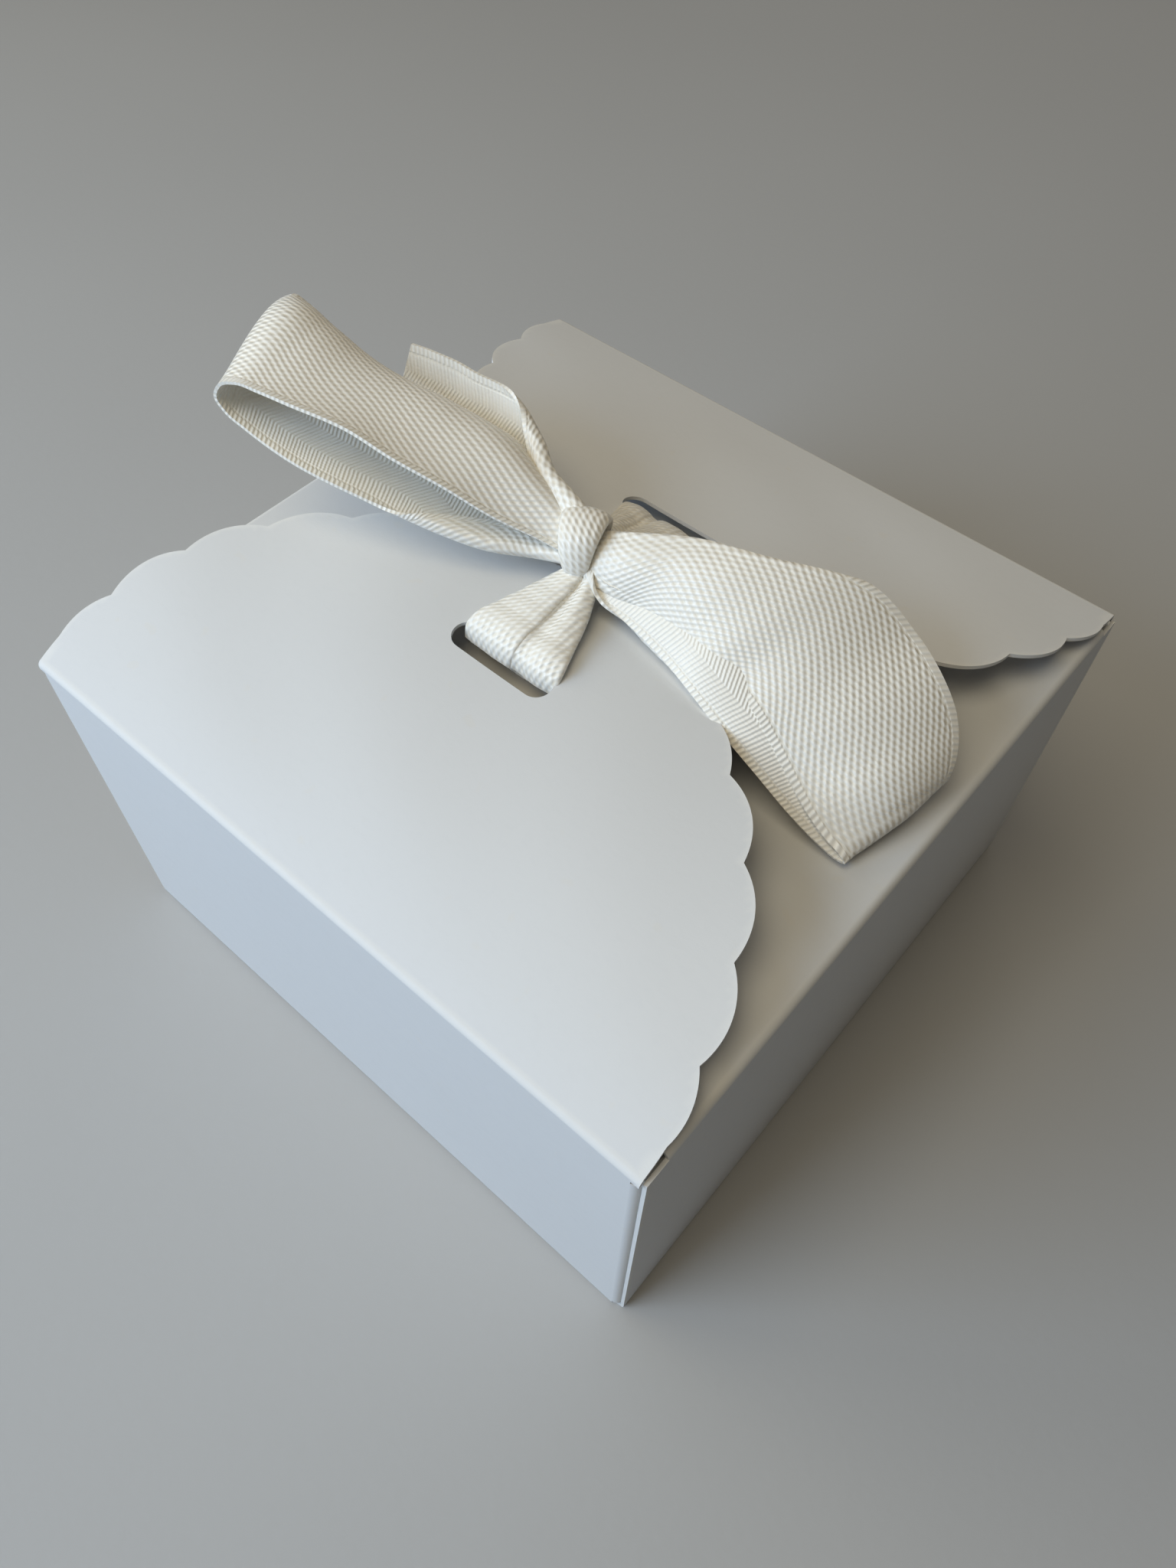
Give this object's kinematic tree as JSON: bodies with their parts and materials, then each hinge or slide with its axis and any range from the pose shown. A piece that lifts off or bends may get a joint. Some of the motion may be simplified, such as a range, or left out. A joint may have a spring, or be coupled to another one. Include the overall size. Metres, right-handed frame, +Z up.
{
  "type": "favor box",
  "caption": "Square white paperboard favor box with bowed scalloped lids, inner dust flaps and a woven ribbon tied through the lid slots in a bow.",
  "frame": {"origin": "middle of the base, on the surface that the box stands on", "axes": "+Z up, -Y towards the front lid's crease, +X along that crease to the right"},
  "size_m": [0.0901, 0.09, 0.077],
  "materials": {
    "board": "matte",
    "ribbon": "satin"
  },
  "bodies": {
    "box": {"base_panel": "board", "front_wall": "board", "back_wall": "board", "left_wall": "board", "right_wall": "board", "front_left_tab": "board", "front_right_tab": "board", "back_left_tab": "board", "back_right_tab": "board"},
    "front_lid": {"front_lid": "board", "bow_knot": "ribbon", "left_loop": "ribbon", "right_loop": "ribbon", "left_tail": "ribbon", "right_tail": "ribbon", "front_leg": "ribbon", "front_run": "ribbon"},
    "back_lid": {"back_lid": "board", "back_leg": "ribbon", "back_run": "ribbon"},
    "left_dust_flap": {"left_dust_flap": "board"},
    "right_dust_flap": {"right_dust_flap": "board"}
  },
  "joints": [
    {"name": "front_lid_crease", "type": "hinge", "parent": "box", "child": "front_lid", "pos_m": [0, -0.04445, 0.05129], "axis": [1, 0, 0], "range_deg": [0, 140]},
    {"name": "back_lid_crease", "type": "hinge", "parent": "box", "child": "back_lid", "pos_m": [0, 0.04429, 0.05136], "axis": [-1, 0, 0], "range_deg": [0, 140]},
    {"name": "left_flap_crease", "type": "hinge", "parent": "box", "child": "left_dust_flap", "pos_m": [-0.04409, 0, 0.0514], "axis": [0, -1, 0], "range_deg": [0, 84]},
    {"name": "right_flap_crease", "type": "hinge", "parent": "box", "child": "right_dust_flap", "pos_m": [0.04404, 0, 0.0514], "axis": [0, 1, 0], "range_deg": [0, 67.2]}
  ],
  "couplings": [
    {"joint": "back_lid_crease", "follows": "front_lid_crease", "ratio": 1},
    {"joint": "left_flap_crease", "follows": "front_lid_crease", "ratio": 0.6},
    {"joint": "right_flap_crease", "follows": "front_lid_crease", "ratio": 0.48}
  ]
}
